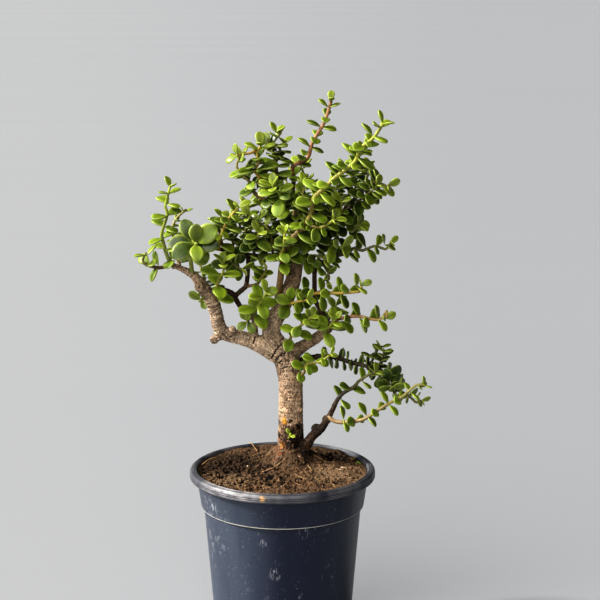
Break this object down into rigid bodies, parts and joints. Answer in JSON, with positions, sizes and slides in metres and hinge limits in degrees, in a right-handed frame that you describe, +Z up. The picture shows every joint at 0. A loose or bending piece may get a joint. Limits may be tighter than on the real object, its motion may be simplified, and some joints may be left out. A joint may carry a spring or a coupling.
{
  "type": "jade bonsai in pot",
  "caption": "Small jade bonsai with a stout forked trunk, upright leafy shoots of fleshy oval leaves in crossed pairs and a low arching branch, in soil in a round tapered pot.",
  "frame": {"origin": "centre of the pot's flat underside", "axes": "+Z up along the pot's axis; -Y is the front of the tree, from which the arching low branch points to the right; +X right"},
  "size_m": [0.2859, 0.1825, 0.5404],
  "materials": {
    "pot_plastic": "dusty dark blue-grey moulded plastic with a soft sheen",
    "soil": "loose dry brown earth",
    "bark": "matt grey-tan fissured bark",
    "leaves": "smooth waxy green skin with lighter edges"
  },
  "bodies": {
    "root": {"pot": "pot_plastic", "soil": "soil", "wood": "bark", "left_upright": "leaves", "left_tip": "leaves", "left_rosette": "leaves", "vigorous": "leaves", "tall": "leaves", "lower_front": "leaves", "lower_right": "leaves", "side_shoot": "leaves", "right_top": "leaves", "arch": "leaves", "low_rise": "leaves", "low_spray": "leaves", "upper_left_out": "leaves", "upper_left_mid": "leaves", "upper_right": "leaves", "centre_rosette": "leaves", "left_crown_front": "leaves", "left_inner": "leaves", "left_riser": "leaves", "left_bud": "leaves", "stub_rosette": "leaves", "stub_cluster": "leaves", "stub_sprig": "leaves", "left_crown_a": "leaves", "left_crown_b": "leaves", "left_crown_low": "leaves", "left_crown_mid": "leaves", "knob_back": "leaves", "crotch_sprig": "leaves", "limb_right_sprig": "leaves", "lower_front_left": "leaves", "trunk_sprig": "leaves", "right_top_low": "leaves", "right_mid_front": "leaves", "right_mid_low": "leaves", "right_mid_up": "leaves", "centre_back": "leaves", "centre_front_right": "leaves", "centre_front_low": "leaves", "right_mid_rise": "leaves", "crown_centre": "leaves", "base_sprout": "leaves", "back_leader_low": "leaves", "back_right": "leaves", "back_top": "leaves", "back_left": "leaves", "back_low_right": "leaves", "right_crown_up": "leaves", "left_crown_back": "leaves", "centre_left_front": "leaves", "upper_left_low": "leaves", "leader_right_low": "leaves", "left_crown_up": "leaves"}
  },
  "joints": []
}
